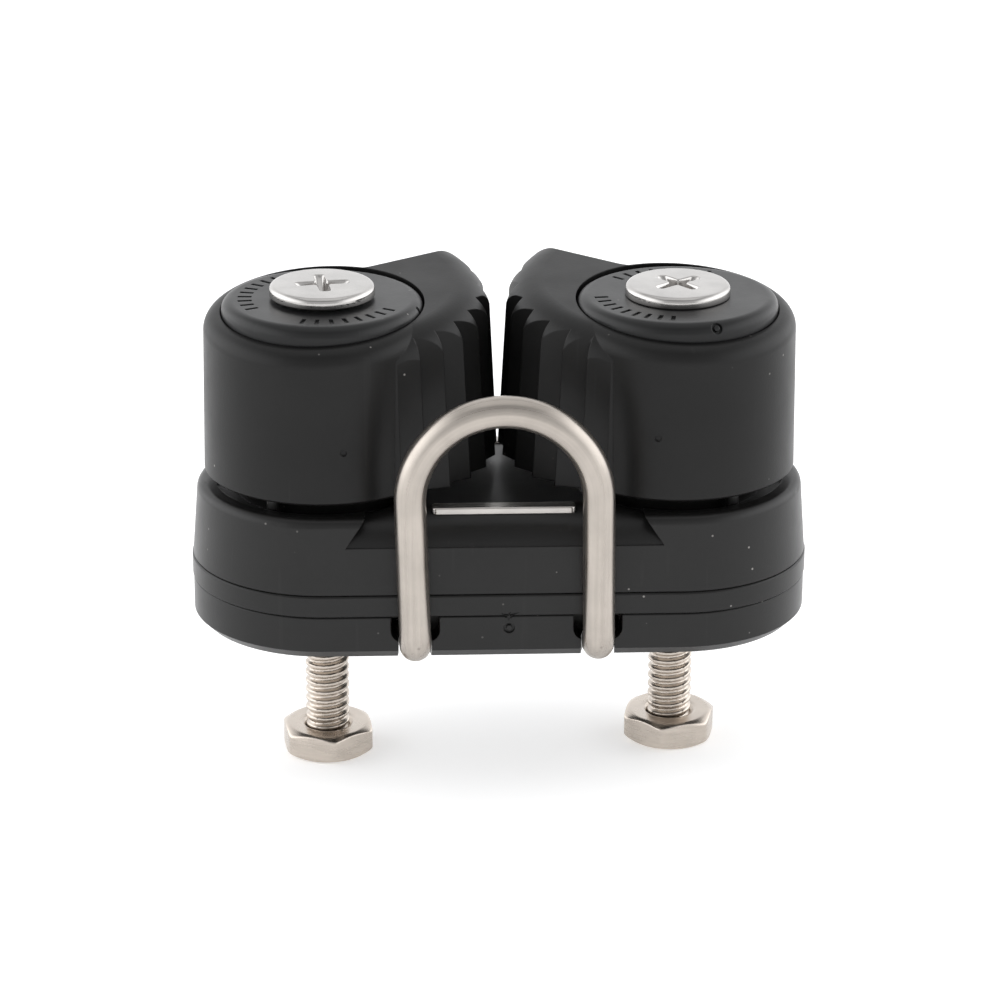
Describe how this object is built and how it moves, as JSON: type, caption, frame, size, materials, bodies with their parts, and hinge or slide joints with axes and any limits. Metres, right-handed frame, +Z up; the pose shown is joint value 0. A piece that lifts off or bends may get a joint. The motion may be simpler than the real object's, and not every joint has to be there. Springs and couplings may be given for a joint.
{
  "type": "cam cleat",
  "caption": "Cam cleat: sprung toothed cams on an oval base jam a rope led through a wire bail; machine screws hold it to a deck.",
  "frame": {"origin": "middle of the flat face that sits on the deck", "axes": "+Z up from the deck, +X along the line of the screws, -Y towards the bail and the loaded end of the rope"},
  "size_m": [0.0672, 0.0346, 0.0545],
  "materials": {
    "moulding": "satin moulded nylon",
    "cam": "satin moulded nylon",
    "cap": "satin moulded nylon",
    "stainless": "satin drawn wire and sheet",
    "screw": "tumbled stainless",
    "spring": "spring wire",
    "balls": "polished acetal"
  },
  "bodies": {
    "base": {"cleat_base": "moulding", "cover_plate": "moulding", "fairlead_pad": "moulding", "front_wear_bar": "stainless", "rear_wear_bar": "stainless", "wire_bail": "stainless", "left_cap": "cap", "left_screw": "screw", "left_nut": "screw", "right_cap": "cap", "right_screw": "screw", "right_nut": "screw"},
    "left_cam": {"left_cam": "cam", "left_spring": "spring"},
    "left_lower_balls": {"left_lower_balls": "balls"},
    "left_upper_balls": {"left_upper_balls": "balls"},
    "right_cam": {"right_cam": "cam", "right_spring": "spring"},
    "right_lower_balls": {"right_lower_balls": "balls"},
    "right_upper_balls": {"right_upper_balls": "balls"}
  },
  "joints": [
    {"name": "left_cam_pivot", "type": "hinge", "parent": "base", "child": "left_cam", "pos_m": [-0.01905, 0, 0.026], "axis": [0, 0, 1], "range_deg": [0, 60], "stiffness_Nm_per_rad": 0.03, "springref_deg": -57.3, "deforming": ["left_spring"]},
    {"name": "left_lower_ball_roll", "type": "hinge", "parent": "base", "child": "left_lower_balls", "pos_m": [-0.01905, 0, 0.026], "axis": [0, 0, 1], "range_deg": [0, 37]},
    {"name": "left_upper_ball_roll", "type": "hinge", "parent": "base", "child": "left_upper_balls", "pos_m": [-0.01905, 0, 0.026], "axis": [0, 0, 1], "range_deg": [0, 37]},
    {"name": "right_cam_pivot", "type": "hinge", "parent": "base", "child": "right_cam", "pos_m": [0.01905, 0, 0.026], "axis": [0, 0, -1], "range_deg": [0, 60], "stiffness_Nm_per_rad": 0.03, "springref_deg": -57.3, "deforming": ["right_spring"]},
    {"name": "right_lower_ball_roll", "type": "hinge", "parent": "base", "child": "right_lower_balls", "pos_m": [0.01905, 0, 0.026], "axis": [0, 0, -1], "range_deg": [0, 37]},
    {"name": "right_upper_ball_roll", "type": "hinge", "parent": "base", "child": "right_upper_balls", "pos_m": [0.01905, 0, 0.026], "axis": [0, 0, -1], "range_deg": [0, 37]}
  ],
  "couplings": [
    {"joint": "left_lower_ball_roll", "follows": "left_cam_pivot", "ratio": 0.6058},
    {"joint": "left_upper_ball_roll", "follows": "left_cam_pivot", "ratio": 0.6058},
    {"joint": "right_lower_ball_roll", "follows": "right_cam_pivot", "ratio": 0.6058},
    {"joint": "right_upper_ball_roll", "follows": "right_cam_pivot", "ratio": 0.6058}
  ]
}
